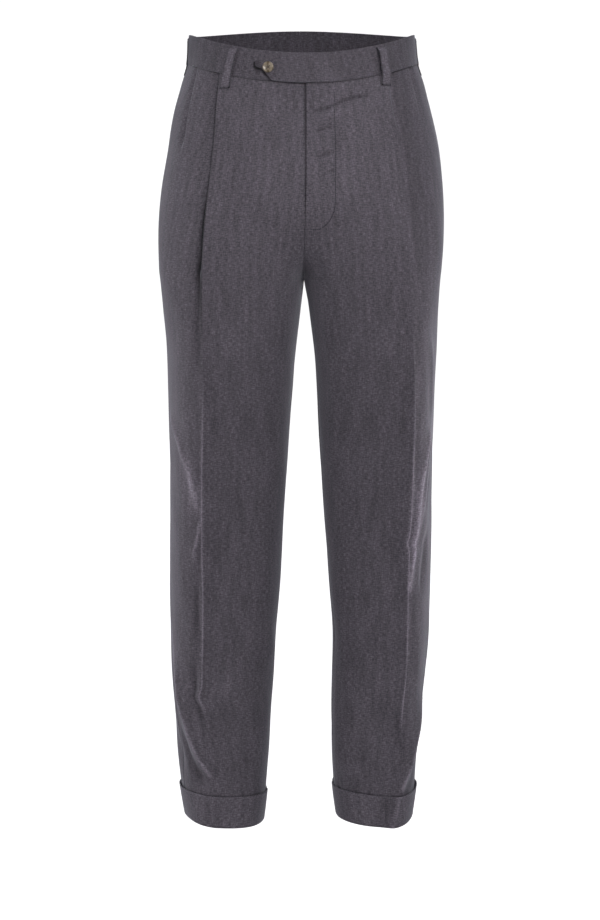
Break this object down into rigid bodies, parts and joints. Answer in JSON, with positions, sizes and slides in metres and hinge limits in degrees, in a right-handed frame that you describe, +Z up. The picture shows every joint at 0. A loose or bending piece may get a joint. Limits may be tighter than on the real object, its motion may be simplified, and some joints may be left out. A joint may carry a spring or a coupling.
{
  "type": "pleated dress trousers",
  "caption": "Men's double-pleated dress trousers, worn and standing: an empty shell of sewn cloth panels with a tab waistband, slanted side pockets, pressed creases and turn-ups.",
  "frame": {"origin": "centre of the waist opening, level with the middle of the waistband at the sides", "axes": "+Z up the garment, front facing -Y, wearer's left at +X"},
  "size_m": [0.3848, 0.2658, 1.0825],
  "materials": {
    "wool": "mid-grey heathered wool flannel",
    "horn": "brown horn"
  },
  "bodies": {
    "root": {"front_left": "wool", "front_right": "wool", "back_left": "wool", "back_right": "wool", "pocket_facing_left": "wool", "pocket_facing_right": "wool", "waistband_left": "wool", "waistband_right": "wool", "cuff_left": "wool", "cuff_right": "wool", "loop_front_left": "wool", "loop_front_right": "wool", "loop_side_left": "wool", "loop_side_right": "wool", "loop_back": "wool", "waist_button": "horn"}
  },
  "joints": []
}
